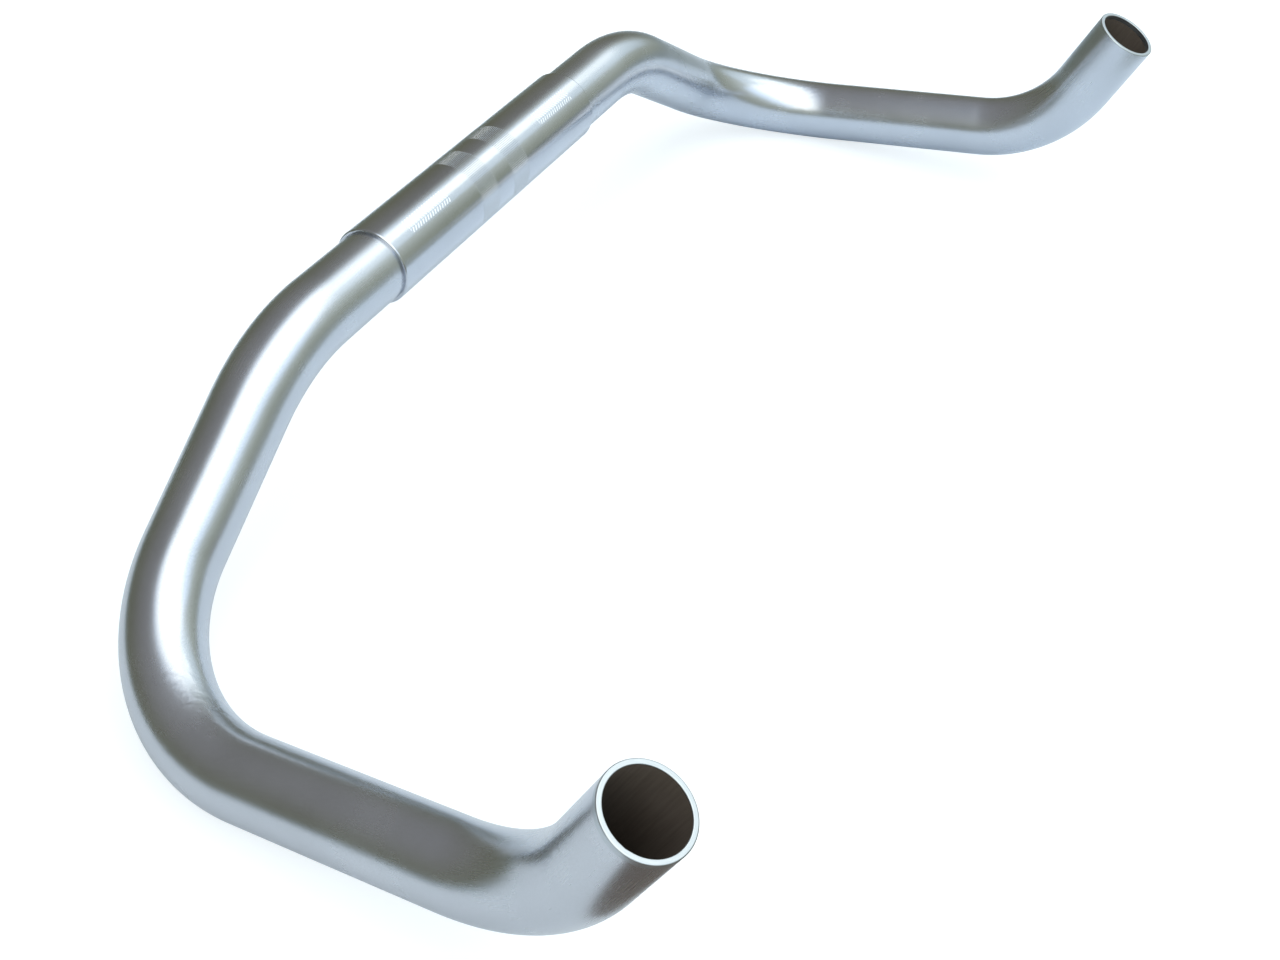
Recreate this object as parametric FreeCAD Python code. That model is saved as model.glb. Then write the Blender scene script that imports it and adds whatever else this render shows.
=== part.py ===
"""Bullhorn handlebar: one bent aluminium tube with a sleeve pressed on where the stem clamps it.

Millimetres. The origin is the centre of the stem clamp seat, +X runs along the clamp axis,
-Y points forwards, the way the horns reach, and +Z points up with the bar standing on a table.
"""
import FreeCAD
import Part
import math
import os
from FreeCAD import Vector

# tube
TUBE_DIAMETER = 23.8
TUBE_WALL = 1.5
RIM_OUTER_BEVEL = 0.35
RIM_INNER_BEVEL = 0.25

# sleeve on the middle of the tube
SLEEVE_DIAMETER = 26.0
SLEEVE_LENGTH = 123.0
SLEEVE_BEVEL = 0.5

# one half of the bar, from corner to corner of its centre line
CENTRE_HALF = 110.0          # clamp centre to the first corner, along X
DROP_RUN = 115.0             # first corner to the second
DROP_ANGLE = 32.0            # how far the drop falls below the clamp axis
HORN_RUN = 142.0             # second corner to the third
HORN_RISE = 1.5              # the horn climbs this much as it runs forwards
HORN_FLARE = 2.5             # and leans out this much
TIP_RUN = 54.5               # third corner to the open end
TIP_TURN = 56.5              # how far the tip turns up from the horn

# centre-line radii of the three bends of a half
BEND_RADII = [72.0, 52.0, 50.0]

# the bar tips back about the clamp axis until it balances on its two lower bends
STANCE_TURN = 6.7


def heading(rise, flare):
    """Unit vector that points forwards, turned up by rise and out to +X by flare."""
    up, out = math.radians(rise), math.radians(flare)
    return Vector(math.cos(up) * math.sin(out), -math.cos(up) * math.cos(out), math.sin(up))


def half_corners():
    """Corners of the centre line on the +X side, from the clamp seat out to the open end."""
    fall = math.radians(DROP_ANGLE)
    shoulder = Vector(CENTRE_HALF, 0, 0)
    elbow = shoulder + Vector(math.cos(fall), 0, -math.sin(fall)) * DROP_RUN
    knuckle = elbow + heading(HORN_RISE, HORN_FLARE) * HORN_RUN
    tip = knuckle + heading(HORN_RISE + TIP_TURN, 0) * TIP_RUN
    stance = FreeCAD.Rotation(Vector(1, 0, 0), -STANCE_TURN)
    return [stance.multVec(corner) for corner in (shoulder, elbow, knuckle, tip)]


def mirrored(corner):
    """The same corner on the -X side."""
    return Vector(-corner.x, corner.y, corner.z)


def bent_path(corners, radii):
    """Wire through the corners, with every inner corner rounded to its radius."""
    edges = []
    start = corners[0]
    for before, corner, after, radius in zip(corners, corners[1:], corners[2:], radii):
        back = (before - corner).normalize()
        ahead = (after - corner).normalize()
        half_turn = (math.pi - back.getAngle(ahead)) / 2
        reach = radius * math.tan(half_turn)
        to_middle = radius / math.cos(half_turn) - radius
        arc_start = corner + back * reach
        arc_end = corner + ahead * reach
        arc_middle = corner + (back + ahead).normalize() * to_middle
        edges.append(Part.LineSegment(start, arc_start).toShape())
        edges.append(Part.Arc(arc_start, arc_middle, arc_end).toShape())
        start = arc_end
    edges.append(Part.LineSegment(start, corners[-1]).toShape())
    return Part.Wire(edges)


def swept_rod(path, radius):
    """Solid round rod along the path."""
    first = path.OrderedEdges[0]
    start = first.valueAt(first.FirstParameter)
    along = first.tangentAt(first.FirstParameter)
    ring = Part.Wire(Part.makeCircle(radius, start, along))
    return path.makePipeShell([ring], True, False)


def rim_edges(tube, radius, ends):
    """The circles of this radius round the open ends."""
    return [
        edge for edge in tube.Edges
        if isinstance(edge.Curve, Part.Circle)
        and abs(edge.Curve.Radius - radius) < 1e-6
        and any(edge.Curve.Center.distanceToPoint(end) < 1e-6 for end in ends)
    ]


def handlebar_tube():
    """The bent tube, open right through, with both rims bevelled inside and out."""
    right = half_corners()
    left = [mirrored(corner) for corner in reversed(right)]
    corners = left + right
    path = bent_path(corners, BEND_RADII[::-1] + BEND_RADII)
    outer, bore = TUBE_DIAMETER / 2, TUBE_DIAMETER / 2 - TUBE_WALL
    tube = swept_rod(path, outer).cut(swept_rod(path, bore))
    ends = [corners[0], corners[-1]]
    tube = tube.makeChamfer(RIM_OUTER_BEVEL, rim_edges(tube, outer, ends))
    return tube.makeChamfer(RIM_INNER_BEVEL, rim_edges(tube, bore, ends)), path


def clamp_sleeve():
    """The sleeve, a plain ring that fits line to line on the straight middle of the tube."""
    start = Vector(-SLEEVE_LENGTH / 2, 0, 0)
    along = Vector(1, 0, 0)
    outer, bore = SLEEVE_DIAMETER / 2, TUBE_DIAMETER / 2
    ring = Part.makeCylinder(outer, SLEEVE_LENGTH, start, along)
    ring = ring.cut(Part.makeCylinder(bore, SLEEVE_LENGTH, start, along))
    ends = [start, start + along * SLEEVE_LENGTH]
    return ring.makeChamfer(SLEEVE_BEVEL, rim_edges(ring, outer, ends))


def write_step(shape, node):
    solid = shape.Solids[0]
    if len(shape.Solids) != 1 or not solid.isValid():
        raise RuntimeError(f"{node} is not one valid solid")
    solid.exportStep(f"parts/{node}.step")
    print(f"{node}: {solid.Volume / 1000:.2f} cm3, {len(solid.Faces)} faces")


os.makedirs("parts", exist_ok=True)
tube, centre_line = handlebar_tube()
write_step(tube, "handlebar_tube")
write_step(clamp_sleeve(), "clamp_sleeve")
section = math.pi * ((TUBE_DIAMETER / 2) ** 2 - (TUBE_DIAMETER / 2 - TUBE_WALL) ** 2)
print(f"centre line {centre_line.Length:.1f} mm, section times length {section * centre_line.Length / 1000:.2f} cm3")
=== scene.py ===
import bpy
import math
import random
from mathutils import Matrix, Vector


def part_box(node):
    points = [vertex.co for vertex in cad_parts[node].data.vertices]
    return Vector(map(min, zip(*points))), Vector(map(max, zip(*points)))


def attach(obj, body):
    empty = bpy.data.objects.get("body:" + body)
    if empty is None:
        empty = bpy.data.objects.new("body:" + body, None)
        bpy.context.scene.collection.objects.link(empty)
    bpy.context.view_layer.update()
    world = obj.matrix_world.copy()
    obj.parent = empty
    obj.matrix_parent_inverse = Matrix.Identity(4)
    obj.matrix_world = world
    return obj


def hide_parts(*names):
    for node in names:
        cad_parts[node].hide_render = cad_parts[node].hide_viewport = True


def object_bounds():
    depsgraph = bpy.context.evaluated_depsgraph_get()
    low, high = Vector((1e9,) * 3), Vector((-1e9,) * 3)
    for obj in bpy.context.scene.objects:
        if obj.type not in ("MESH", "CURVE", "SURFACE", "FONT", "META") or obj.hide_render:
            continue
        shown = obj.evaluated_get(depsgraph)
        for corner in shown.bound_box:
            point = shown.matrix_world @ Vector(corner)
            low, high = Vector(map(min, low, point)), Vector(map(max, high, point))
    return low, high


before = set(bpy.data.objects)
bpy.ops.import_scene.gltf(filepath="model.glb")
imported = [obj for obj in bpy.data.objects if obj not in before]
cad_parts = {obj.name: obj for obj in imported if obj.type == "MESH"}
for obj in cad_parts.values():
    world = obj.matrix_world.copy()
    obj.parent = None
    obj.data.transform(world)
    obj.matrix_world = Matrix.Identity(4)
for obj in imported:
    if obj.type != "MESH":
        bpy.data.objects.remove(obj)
cad_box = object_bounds()


# ---------------------------------------------------------------- handlebar tube
# One aluminium tube, 23.8 mm across with a 1.5 mm wall, cold bent six times on a draw bender
# and sawn off square. It is bead blasted and clear anodised after bending, so the skin is
# satin all over, the cut rims are bare and bright, and the bore keeps its dull mill finish,
# painted dark brown as painted shade inside the tube.
TUBE_RADIUS = 0.0119
BORE_RADIUS = 0.0104
RIM_OUTER_BEVEL = 0.00035
RIM_INNER_BEVEL = 0.00025
CENTRE_HALF = 0.110        # clamp centre to the first corner
DROP_RUN = 0.115           # first corner to the second
DROP_FALL = math.radians(32.0)
HORN_RUN = 0.142           # second corner to the third
HORN_RISE = math.radians(1.5)
HORN_FLARE = math.radians(2.5)
TIP_RUN = 0.0545           # third corner to the open end
TIP_TURN = math.radians(56.5)
BEND_RADII = (0.072, 0.052, 0.050)
STANCE_TURN = math.radians(6.7)
RING_STEP = 0.0018
RING_POINTS = 128


def half_corners():
    """Corners of one half of the centre line, from the clamp seat out to the open end."""
    shoulder = Vector((CENTRE_HALF, 0, 0))
    elbow = shoulder + Vector((math.cos(DROP_FALL), 0, -math.sin(DROP_FALL))) * DROP_RUN
    along_horn = Vector((
        math.cos(HORN_RISE) * math.sin(HORN_FLARE),
        -math.cos(HORN_RISE) * math.cos(HORN_FLARE),
        math.sin(HORN_RISE)))
    knuckle = elbow + along_horn * HORN_RUN
    along_tip = Vector((0, -math.cos(HORN_RISE + TIP_TURN), math.sin(HORN_RISE + TIP_TURN)))
    tip = knuckle + along_tip * TIP_RUN
    stance = Matrix.Rotation(-STANCE_TURN, 3, "X")
    return [stance @ corner for corner in (shoulder, elbow, knuckle, tip)]


def bent_line(corners, radii, step):
    """Points and headings along the corners, with every inner corner rounded to its radius."""
    line = []

    def run(start, end):
        heading = (end - start).normalized()
        count = max(1, round((end - start).length / step))
        for i in range(count):
            line.append((start.lerp(end, i / count), heading))

    start = corners[0]
    for before, corner, after, radius in zip(corners, corners[1:], corners[2:], radii):
        ahead_in = (corner - before).normalized()
        ahead_out = (after - corner).normalized()
        turn = ahead_in.angle(ahead_out)
        reach = radius * math.tan(turn / 2)
        arc_start = corner - ahead_in * reach
        run(start, arc_start)
        inwards = (ahead_out - ahead_in * ahead_in.dot(ahead_out)).normalized()
        centre = arc_start + inwards * radius
        count = max(1, round(radius * turn / step))
        for i in range(count):
            a = turn * i / count
            point = centre + (ahead_in * math.sin(a) - inwards * math.cos(a)) * radius
            line.append((point, ahead_in * math.cos(a) + inwards * math.sin(a)))
        start = corner + ahead_out * reach
    run(start, corners[-1])
    line.append((corners[-1].copy(), (corners[-1] - corners[-2]).normalized()))
    return line


def carried_frames(line, first_up):
    """A side and an up vector at every point, carried along the line without twisting."""
    frames = []
    up = first_up
    for point, heading in line:
        up = (up - heading * up.dot(heading)).normalized()
        frames.append((point, heading, heading.cross(up), up))
    return frames


def ring_skin(name, stations, around, girth, materials):
    """A closed skin over rings. A station is (centre, side, up, radius, distance along, material);
    radius may be a function of the angle. A UV map holds the way round and along, in metres."""
    mesh = bpy.data.meshes.new(name)
    verts, faces, face_materials, corner_uv = [], [], [], []
    for centre, side, up, radius, along, material in stations:
        for j in range(around):
            a = 2 * math.pi * j / around
            r = radius(a) if callable(radius) else radius
            verts.append(centre + (up * math.cos(a) + side * math.sin(a)) * r)
    count = len(stations)
    for i in range(count):
        n = (i + 1) % count
        for j in range(around):
            k = (j + 1) % around
            faces.append((i * around + j, n * around + j, n * around + k, i * around + k))
            face_materials.append(stations[i][5])
            low, high = girth * j / around, girth * (j + 1) / around
            at, on = stations[i][4], stations[n][4]
            corner_uv += [(low, at), (low, on), (high, on), (high, at)]
    mesh.from_pydata(verts, [], faces)
    layer = mesh.uv_layers.new(name="round_and_along")
    for corner, uv in zip(layer.data, corner_uv):
        corner.uv = uv
    for material in materials:
        mesh.materials.append(material)
    for polygon, material in zip(mesh.polygons, face_materials):
        polygon.material_index = material
        polygon.use_smooth = True
    mesh.validate()
    piece = bpy.data.objects.new(name, mesh)
    bpy.context.scene.collection.objects.link(piece)
    return piece


def add_node(tree, kind, **settings):
    """A new node with these properties set; a key that names an input sets its value."""
    node = tree.nodes.new(kind)
    for key, value in settings.items():
        if hasattr(node, key):
            setattr(node, key, value)
        else:
            node.inputs[key.replace("_", " ")].default_value = value
    return node


def plug(tree, value, socket):
    """Links an output to the socket, or sets a plain number or colour on it."""
    if isinstance(value, bpy.types.NodeSocket):
        tree.links.new(value, socket)
    else:
        socket.default_value = value


def maths(tree, operation, a, b=0.0):
    """The result of one sum on two outputs or numbers."""
    node = add_node(tree, "ShaderNodeMath", operation=operation)
    plug(tree, a, node.inputs[0])
    plug(tree, b, node.inputs[1])
    return node.outputs["Value"]


def ranged(tree, value, low, high, to_low=0.0, to_high=1.0, kind="LINEAR"):
    """The value, carried over from low..high to to_low..to_high and held beyond both ends."""
    node = add_node(tree, "ShaderNodeMapRange", interpolation_type=kind)
    plug(tree, value, node.inputs["Value"])
    for socket, number in zip(("From Min", "From Max", "To Min", "To Max"), (low, high, to_low, to_high)):
        node.inputs[socket].default_value = number
    return node.outputs["Result"]


def blended(tree, share, first, second):
    """One colour turning into the other as the share goes from 0 to 1."""
    share_socket, first_socket, second_socket, colour_out = 0, 6, 7, 2
    node = add_node(tree, "ShaderNodeMix", data_type="RGBA")
    plug(tree, share, node.inputs[share_socket])
    for colour, socket in ((first, first_socket), (second, second_socket)):
        plug(tree, (*colour, 1) if isinstance(colour, tuple) else colour, node.inputs[socket])
    return node.outputs[colour_out]


def stretched_noise(tree, across, along, scale, detail):
    """Noise over the piece's skin, drawn out round it or along it."""
    place = add_node(tree, "ShaderNodeUVMap", uv_map="round_and_along")
    stretch = add_node(tree, "ShaderNodeMapping")
    stretch.inputs["Scale"].default_value = (across, along, 1.0)
    tree.links.new(place.outputs["UV"], stretch.inputs["Vector"])
    noise = add_node(tree, "ShaderNodeTexNoise", Scale=scale, Detail=detail)
    tree.links.new(stretch.outputs["Vector"], noise.inputs["Vector"])
    return noise.outputs["Fac"]


def bumped(tree, height, strength, distance, over=None):
    """A surface direction tilted by the height, over what is already there."""
    node = add_node(tree, "ShaderNodeBump", Strength=strength, Distance=distance)
    tree.links.new(height, node.inputs["Height"])
    if over is not None:
        tree.links.new(over, node.inputs["Normal"])
    return node.outputs["Normal"]


def new_material(name):
    """A material with its node tree and its Principled shader."""
    material = bpy.data.materials.new(name)
    material.use_nodes = True
    return material, material.node_tree, material.node_tree.nodes["Principled BSDF"]


def satin_metal(name, colour, roughness, grain):
    """Bead-blasted, anodised aluminium: fine pitted grain, faint drawing lines and soft smudges."""
    material, tree, skin = new_material(name)
    link = tree.links.new
    skin.inputs["Metallic"].default_value = 1.0
    spot = add_node(tree, "ShaderNodeTexCoord")
    pits = add_node(tree, "ShaderNodeTexNoise", Scale=1900.0, Detail=2.0, Roughness=0.6)
    link(spot.outputs["Object"], pits.inputs["Vector"])
    smudges = add_node(tree, "ShaderNodeTexNoise", Scale=38.0, Detail=4.0, Roughness=0.55)
    link(spot.outputs["Object"], smudges.inputs["Vector"])
    drawing_lines = stretched_noise(tree, 1.0, 0.03, 1800.0, 3.0)

    def spread(noise, low, high):
        """The noise, whose middle part is carried over to low..high."""
        return ranged(tree, noise, 0.3, 0.7, low, high)

    pit_contrast = 0.04 * grain
    sparkle = spread(pits.outputs["Fac"], 1 - pit_contrast, 1 + pit_contrast)
    tone = maths(tree, "MULTIPLY", spread(smudges.outputs["Fac"], 0.95, 1.03), sparkle)
    tint = add_node(tree, "ShaderNodeVectorMath", operation="SCALE")
    tint.inputs[0].default_value = colour
    link(tone, tint.inputs["Scale"])
    link(tint.outputs["Vector"], skin.inputs["Base Color"])
    uneven = maths(
        tree, "MULTIPLY", spread(smudges.outputs["Fac"], 0.95, 1.10), spread(drawing_lines, 0.98, 1.02))
    link(maths(tree, "MULTIPLY", uneven, roughness), skin.inputs["Roughness"])

    # The bending die leaves a swirl of rub marks on top of each elbow, the same on both sides.
    elbow_top, rub_edge, rub_core = (0.203, 0.038, 0.040), 0.022, 0.006
    mirror = add_node(tree, "ShaderNodeVectorMath", operation="ABSOLUTE")
    link(spot.outputs["Object"], mirror.inputs[0])
    apart = add_node(tree, "ShaderNodeVectorMath", operation="DISTANCE")
    link(mirror.outputs["Vector"], apart.inputs[0])
    apart.inputs[1].default_value = elbow_top
    near_elbow = ranged(tree, apart.outputs["Value"], rub_edge, rub_core, kind="SMOOTHSTEP")
    swirl = add_node(tree, "ShaderNodeTexWave", Scale=95.0, Distortion=9.0, Detail=3.0)
    swirl.inputs["Detail Scale"].default_value = 1.6
    link(mirror.outputs["Vector"], swirl.inputs["Vector"])
    rub = bumped(tree, maths(tree, "MULTIPLY", swirl.outputs["Fac"], near_elbow), 0.4, 0.00006)
    blasted = bumped(tree, pits.outputs["Fac"], 0.12 * grain, 0.00003, rub)
    link(blasted, skin.inputs["Normal"])
    return material


def sawn_metal():
    """The bare cut face of the tube: bright, with rings left by the facing cutter."""
    material, tree, skin = new_material("sawn_rim")
    skin.inputs["Metallic"].default_value = 1.0
    skin.inputs["Roughness"].default_value = 0.35
    rings = stretched_noise(tree, 0.05, 1.0, 6000.0, 2.0)
    tree.links.new(blended(tree, rings, (0.40, 0.44, 0.48), (0.55, 0.60, 0.65)), skin.inputs["Base Color"])
    tree.links.new(bumped(tree, rings, 0.3, 0.00004), skin.inputs["Normal"])
    return material


def painted_shade_bore_metal():
    """The inside of the tube: dull drawn stock with lengthwise marks, painted dark brown as painted shade
    inside the bore.
    """
    material, tree, skin = new_material("mill_bore_painted_shade")
    skin.inputs["Roughness"].default_value = 0.7
    skin.inputs["Specular IOR Level"].default_value = 0.2
    marks = stretched_noise(tree, 1.0, 0.05, 1200.0, 3.0)
    # Painted shade: the bore is coloured dark brown to stand for the shade inside the tube; the marks only
    # vary it.
    tone = blended(tree, marks, (0.075, 0.060, 0.050), (0.135, 0.112, 0.095))
    tree.links.new(tone, skin.inputs["Base Color"])
    return material


def nicked(radius, depth, seed):
    """This radius with a few small burrs and nicks left round the edge by the saw."""
    pick = random.Random(seed)
    count, narrow, wide = 9, 0.03, 0.07
    nicks = [
        (pick.uniform(0, 2 * math.pi), pick.uniform(narrow, wide), pick.uniform(-depth, depth))
        for _ in range(count)]

    def at(a):
        apart = [(math.remainder(a - middle, 2 * math.pi), width, deep) for middle, width, deep in nicks]
        return radius + sum(deep * math.exp(-(off / width) ** 2) for off, width, deep in apart)
    return at


def quarter(steps):
    """Angles inside a quarter turn, without its two ends."""
    return [math.pi / 2 * i / steps for i in range(1, steps)]


def tube_stations():
    """Rings over the outside from end to end, round the rim, back through the bore and round."""
    right = half_corners()
    left = [Vector((-c.x, c.y, c.z)) for c in reversed(right)]
    line = bent_line(left + right, BEND_RADII[::-1] + BEND_RADII, RING_STEP)
    first_up = Vector((0, -0.9, 0.43))
    frames = carried_frames(line, first_up)
    steps = [0.0]
    for (a, _), (b, _) in zip(line, line[1:]):
        steps.append(steps[-1] + (b - a).length)
    outside, rim, bore = 0, 1, 2

    def rim_profile(end, sign):
        """Rings over one cut end, from the outside in; sign is +1 at the last ring."""
        point, heading, side, up = frames[end]
        outer, inner = RIM_OUTER_BEVEL, RIM_INNER_BEVEL
        inner_edge = BORE_RADIUS + inner
        deepest_nick, nick_reach = 0.00016, 0.0004
        run_in, run_on, arc_steps = 1.3, 1.15, 5
        rings = [(-outer * run_in, TUBE_RADIUS), (-outer, TUBE_RADIUS)]
        for a in quarter(arc_steps):
            rings.append((-outer * (1 - math.sin(a)), TUBE_RADIUS - outer * (1 - math.cos(a))))
        rings += [(0, TUBE_RADIUS - outer), (0, TUBE_RADIUS - outer * run_on)]
        rings += [(0, (TUBE_RADIUS + BORE_RADIUS) / 2)]
        rings += [(0, BORE_RADIUS + inner * run_on), (0, inner_edge)]
        for a in quarter(arc_steps):
            rings.append((-inner * (1 - math.cos(a)), BORE_RADIUS + inner * (1 - math.sin(a))))
        rings += [(-inner, BORE_RADIUS), (-inner * run_in, BORE_RADIUS)]
        if sign < 0:
            rings.reverse()

        def edged(radius):
            """Nicks fade out away from the inner edge of the cut face."""
            share = 1 - abs(radius - inner_edge) / nick_reach
            return nicked(radius, deepest_nick * share, end) if share > 0 else radius
        return [
            (point + heading * sign * back, side, up, edged(radius),
             steps[end] + sign * back + (TUBE_RADIUS - radius), rim)
            for back, radius in rings
        ]

    def along(order, radius, material):
        """Rings of one radius over these points of the line, in this order."""
        return [(frames[i][0], frames[i][2], frames[i][3], radius, steps[i], material) for i in order]

    # The bore, which hardly shows, has only every second ring.
    body = range(1, len(line) - 1)
    return (
        along(body, TUBE_RADIUS, outside) + rim_profile(len(line) - 1, 1)
        + along(body[::-2], BORE_RADIUS, bore) + rim_profile(0, -1))


tube = ring_skin(
    "handlebar_tube_skin", tube_stations(), RING_POINTS, 2 * math.pi * TUBE_RADIUS,
    [satin_metal("tube_satin", (0.518, 0.549, 0.605), 0.26, 1.0), sawn_metal(), painted_shade_bore_metal()])
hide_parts("handlebar_tube")
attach(tube, "root")


# ---------------------------------------------------------------- clamp sleeve
# A turned aluminium sleeve, 26 mm across, pressed over the middle of the tube so that the stem
# has a larger seat. Two rings of fine straight knurling stop the bar from slipping in the clamp,
# and both ends are turned down to a small bevel.
SLEEVE_RADIUS = 0.013
SLEEVE_BEVEL = 0.0005
KNURL_GROOVES = 130
KNURL_DEPTH = 0.000055
KNURL_FROM = 0.0048        # each knurled ring, from the middle of the sleeve outwards
KNURL_TO = 0.0152
SLEEVE_RING_POINTS = 1300


def sleeve_stations():
    """Rings over the outside from end to end, with both knurled rings, and back through the bore."""
    low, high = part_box("clamp_sleeve")
    half, outer, bore = high.x, high.z, TUBE_RADIUS
    bevel, end_steps, inset = SLEEVE_BEVEL, 4, 0.0001
    past_bevel, face_ring = bevel * 1.4, bevel * 1.3
    plain_near, plain_far = 0.030, 0.045
    groove_half = 0.1          # as a share of the way from groove to groove

    def knurled(share):
        """A radius that dips in narrow grooves, to this share of their full depth."""
        def radius(a):
            off_groove = abs(KNURL_GROOVES * a / (2 * math.pi) % 1 - 0.5)
            return outer - KNURL_DEPTH * share * max(0, 1 - off_groove / groove_half)
        return radius

    end = []
    for i in range(end_steps + 1):
        a = math.pi / 2 * i / end_steps
        x = -half + bevel * (1 - math.cos(a))
        end.append((x, outer - bevel * (1 - math.sin(a))))
    run_in = [(-0.0006, 0), (-0.0001, 0), (0, 0.35), (0.0003, 0.8), (0.0006, 1.0), (0.003, 1.0)]
    rows = [(-half + past_bevel, 0), (-plain_far, 0), (-plain_near, 0)]
    for start, stop in ((-KNURL_TO, -KNURL_FROM), (KNURL_FROM, KNURL_TO)):
        rows += [(start + across, share) for across, share in run_in]
        rows += [((start + stop) / 2, 1.0)]
        rows += [(stop - across, share) for across, share in reversed(run_in)]
    rows += [(plain_near, 0), (plain_far, 0), (half - past_bevel, 0)]
    profile = end + [(x, knurled(share) if share else outer) for x, share in rows]
    profile += [(-x, r) for x, r in reversed(end)]
    profile += [(half, outer - face_ring), (half, bore + inset), (half, bore)]
    profile += [(half - 2 * inset, bore), (-half + 2 * inset, bore), (-half, bore)]
    profile += [(-half, bore + inset), (-half, outer - face_ring)]
    side, up = Vector((0, -1, 0)), Vector((0, 0, 1))
    return [(Vector((x, 0, 0)), side, up, radius, x, 0) for x, radius in profile]


def etched_marks(material):
    """Two patches of plain hatching, etched into the front of the sleeve: paler and duller."""
    tree = material.node_tree
    skin = tree.nodes["Principled BSDF"]
    place = add_node(tree, "ShaderNodeUVMap", uv_map="round_and_along")
    parts = add_node(tree, "ShaderNodeSeparateXYZ")
    tree.links.new(place.outputs["UV"], parts.inputs["Vector"])
    round_way, along = parts.outputs["X"], parts.outputs["Y"]

    def sum_of(operation, a, b=0.0):
        return maths(tree, operation, a, b)

    def within(value, middle, half, soft):
        """1 where value is nearer to the middle than half, fading out over soft."""
        off = sum_of("ABSOLUTE", sum_of("SUBTRACT", value, middle))
        return ranged(tree, off, half + soft / 2, half - soft / 2, kind="SMOOTHSTEP")

    pair_centre, patch_down, patch_out = 0.001, 0.0074, 0.0405
    patch_half_height, patch_half_length = 0.0027, 0.0112
    row_pitch, row_half = 0.0018, 0.0007
    stroke_pitch, stroke_half, slope = 0.0014, 0.0003, 0.7
    band = within(round_way, patch_down, patch_half_height, soft=0.0002)
    off_centre = sum_of("ABSOLUTE", sum_of("SUBTRACT", along, pair_centre))
    length = within(off_centre, patch_out, patch_half_length, soft=0.0006)
    down = sum_of("SUBTRACT", round_way, patch_down - patch_half_height)
    row = within(sum_of("PINGPONG", down, row_pitch / 2), row_pitch / 2, row_half, soft=0.0003)
    slant = sum_of("ADD", along, sum_of("MULTIPLY", sum_of("PINGPONG", down, row_pitch), slope))
    stroke = within(sum_of("PINGPONG", slant, stroke_pitch / 2), 0.0, stroke_half, soft=0.00025)
    mark = sum_of("MULTIPLY", sum_of("MULTIPLY", sum_of("MULTIPLY", band, row), length), stroke)
    for socket, etched in (("Base Color", (0.80, 0.83, 0.88)), ("Roughness", (0.5, 0.5, 0.5))):
        below = skin.inputs[socket].links[0].from_socket
        tree.links.new(blended(tree, mark, below, etched), skin.inputs[socket])
    return material


sleeve = ring_skin(
    "clamp_sleeve_skin", sleeve_stations(), SLEEVE_RING_POINTS, 2 * math.pi * SLEEVE_RADIUS,
    [etched_marks(satin_metal("sleeve_satin", (0.513, 0.541, 0.598), 0.20, 0.9))])
knurl_edge = 0.0001
for facet in sleeve.data.polygons:
    facet.use_smooth = not KNURL_FROM + knurl_edge < abs(facet.center.x) < KNURL_TO - knurl_edge
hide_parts("clamp_sleeve")
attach(sleeve, "root")


# ---------------------------------------------------------------- floor
# A plain sheet of pale board that the bar stands on with its two lower bends.
floor_level = cad_box[0][2]
bpy.ops.mesh.primitive_plane_add(size=8.0, location=(0, 0, floor_level))
floor = bpy.context.object
floor.name = "floor"
board, _, board_skin = new_material("pale_board")
board_skin.inputs["Base Color"].default_value = (0.38, 0.40, 0.42, 1)
board_skin.inputs["Roughness"].default_value = 0.8
board_skin.inputs["Specular IOR Level"].default_value = 0.1
board_skin.inputs["Emission Color"].default_value = (0.92, 0.97, 1.0, 1)
board_skin.inputs["Emission Strength"].default_value = 0.76
floor.data.materials.append(board)


# ---------------------------------------------------------------- studio
# A long soft ceiling light crosses over the bar from side to side, with a dimmer halo round it,
# in a room whose back wall is dark. Flat patches round the bar are only there for it to mirror.
CEILING = 1.6
FAR = 4


def soft_ceiling(name, left, right, front, back, radiance):
    """A level light of this radiance; its sides are given in ceiling heights from the clamp."""
    data = bpy.data.lights.new(name, "AREA")
    data.shape = "RECTANGLE"
    data.size, data.size_y = (right - left) * CEILING, (back - front) * CEILING
    data.color = [value / max(radiance) for value in radiance]
    data.energy = max(radiance) * math.pi * data.size * data.size_y
    light = bpy.data.objects.new(name, data)
    light.location = ((left + right) / 2 * CEILING, (front + back) / 2 * CEILING, CEILING)
    bpy.context.scene.collection.objects.link(light)


soft_ceiling("ceiling_light", -2.6, 0.75, -1.05, 0.10, (1.44, 1.40, 1.32))
soft_ceiling("ceiling_halo", -2.6, 0.85, -1.8, 0.20, (0.53, 0.68, 0.96))
soft_ceiling("right_light", 0.75, 1.40, -0.50, 0.00, (1.36, 1.38, 1.36))
soft_ceiling("right_halo", 0.85, 5.6, -1.1, 0.14, (0.29, 0.37, 0.49))
soft_ceiling("far_light", 1.40, 3.2, -0.85, -0.38, (1.0, 1.1, 1.1))


def surround(name, corners, colour, lift=0.0005):
    """A flat glowing patch just over the board that only mirrors see, and its shader."""
    mesh = bpy.data.meshes.new(name)
    mesh.from_pydata([(x, y, floor_level + lift) for x, y in corners], [], [range(len(corners))])
    patch = bpy.data.objects.new(name, mesh)
    bpy.context.scene.collection.objects.link(patch)
    glow, tree, skin = new_material(name)
    skin.inputs["Base Color"].default_value = (0, 0, 0, 1)
    skin.inputs["Specular IOR Level"].default_value = 0.0
    skin.inputs["Emission Color"].default_value = (*colour, 1)
    skin.inputs["Emission Strength"].default_value = 1.0
    mesh.materials.append(glow)
    patch.visible_camera = False
    patch.visible_diffuse = False
    patch.visible_shadow = False
    return tree, skin


front_left, front_middle, front_right = (-0.40, -0.14), (-0.08, -0.191), (0.48, -0.28)
back_right, back_left = (0.42, 0.18), (-0.36, 0.27)
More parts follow.
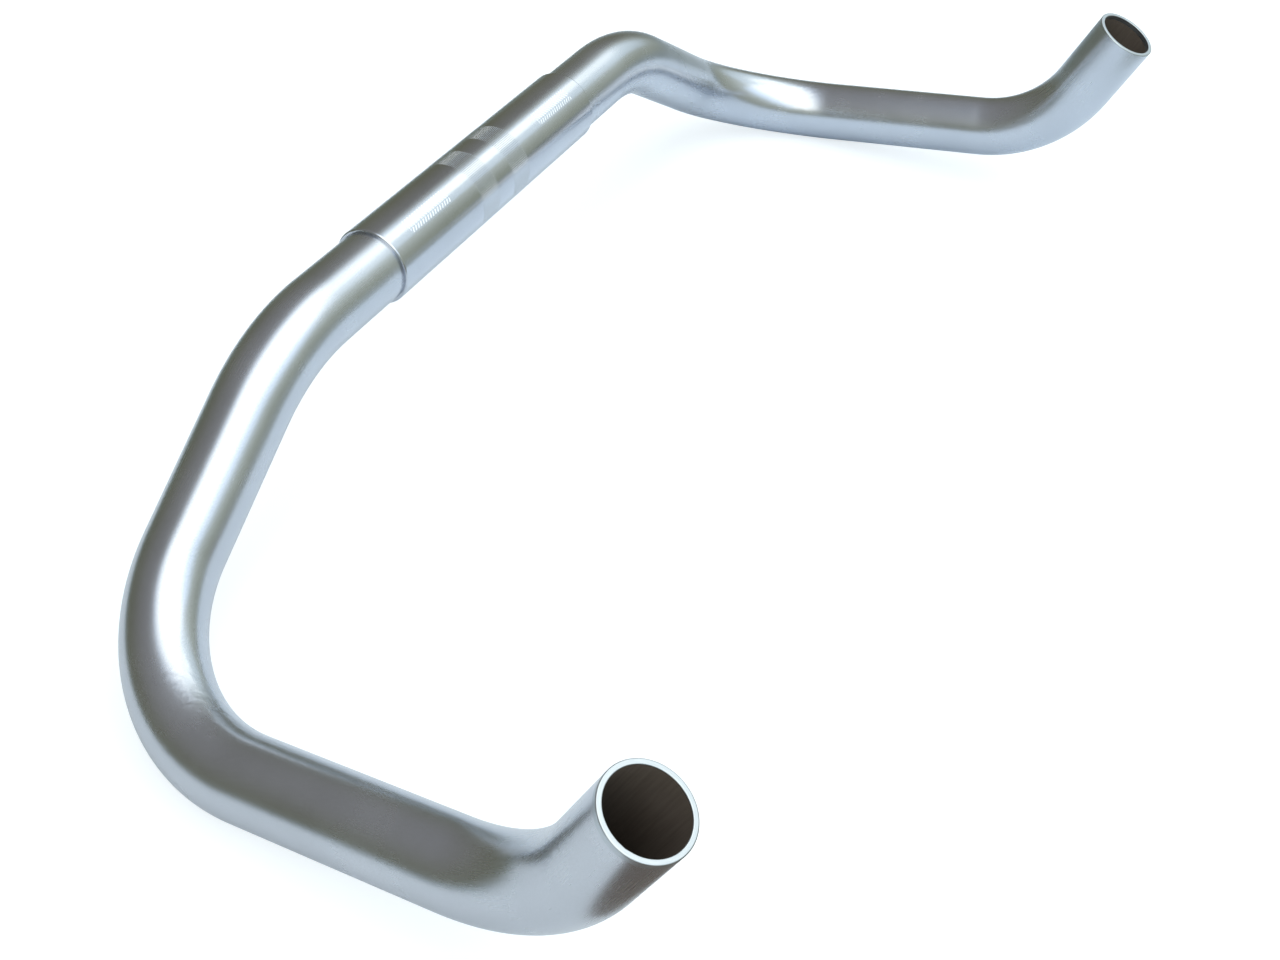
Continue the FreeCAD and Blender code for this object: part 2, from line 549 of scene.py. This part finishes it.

# The sheet under the bar is the one patch that is lit and doesn't glow. It is painted greyer and dimmer to
# the left, as painted shade where less light falls on it.
tint, sheet_skin = surround(
    "mirrored_sheet", [front_left, front_middle, front_right, back_right, back_left], (0, 0, 0))
spread = add_node(tint, "ShaderNodeTexCoord")
across = add_node(tint, "ShaderNodeSeparateXYZ")
tint.links.new(spread.outputs["Object"], across.inputs["Vector"])
# Painted shade: the sheet's colour turns greyer and dimmer towards the left.
share = ranged(tint, across.outputs["X"], -0.24, 0.05)
painted_shade_tone = blended(tint, share, (0.75, 0.79, 0.85), (0.76, 0.84, 0.95))
tint.links.new(painted_shade_tone, sheet_skin.inputs["Base Color"])

surround("surround_back", [back_right, (FAR, FAR), (-FAR, FAR), back_left], (0.20, 0.24, 0.20))
surround("surround_right", [front_right, (FAR, -FAR), (FAR, FAR), back_right], (0.32, 0.38, 0.38))
surround("surround_left", [front_left, back_left, (-FAR, FAR), (-FAR, -FAR)], (0.40, 0.47, 0.48))
surround(
    "surround_front", [front_middle, (front_middle[0], -FAR), (FAR, -FAR), front_right],
    (0.42, 0.47, 0.44))
surround(
    "sheet_edge", [(0.30, -0.252), (0.45, -0.50), (0.80, -0.50), front_right],
    (0.95, 0.98, 1.00), lift=0.001)
surround(
    "surround_corner", [front_left, (-FAR, -FAR), (front_middle[0], -FAR), front_middle],
    (0.17, 0.145, 0.12))

room = bpy.data.worlds.new("room")
bpy.context.scene.world = room
room.use_nodes = True
air = room.node_tree
background = air.nodes["Background"]
compass = add_node(air, "ShaderNodeTexCoord")
bearing = add_node(air, "ShaderNodeSeparateXYZ")
air.links.new(compass.outputs["Generated"], bearing.inputs["Vector"])


def room_wall(below, along, low, high, colour):
    """Mixes a wall's colour over what is there, from low to high along one axis of the room."""
    share = ranged(air, bearing.outputs[along], low, high, kind="SMOOTHSTEP")
    return blended(air, share, below, colour)


light_end = room_wall((0.42, 0.45, 0.35), "Z", 0.05, 0.65, (0.86, 0.93, 0.84))
dark_end = room_wall((0.19, 0.19, 0.13), "Z", 0.05, 0.9, (0.29, 0.28, 0.27))
walls = room_wall(light_end, "Y", -0.05, 0.32, dark_end)
air.links.new(walls, background.inputs["Color"])
background.inputs["Strength"].default_value = 1.0


# ---------------------------------------------------------------- camera
# Looks down across the clamp from beside the right-hand horn.
camera_data = bpy.data.cameras.new("camera")
camera_data.sensor_width = 36.0
camera_data.lens = 43.93
camera = bpy.data.objects.new("camera", camera_data)
bpy.context.scene.collection.objects.link(camera)
stand = Vector((-0.3975, -0.2489, 0.2708))
aim = Vector((-0.0391, -0.0853, -0.0687))
tilt = Matrix.Rotation(math.radians(2.99), 4, "Z")
camera.matrix_world = (
    Matrix.Translation(stand) @ (aim - stand).to_track_quat("-Z", "Y").to_matrix().to_4x4() @ tilt)
bpy.context.scene.camera = camera
bpy.context.scene.view_settings.view_transform = "Standard"
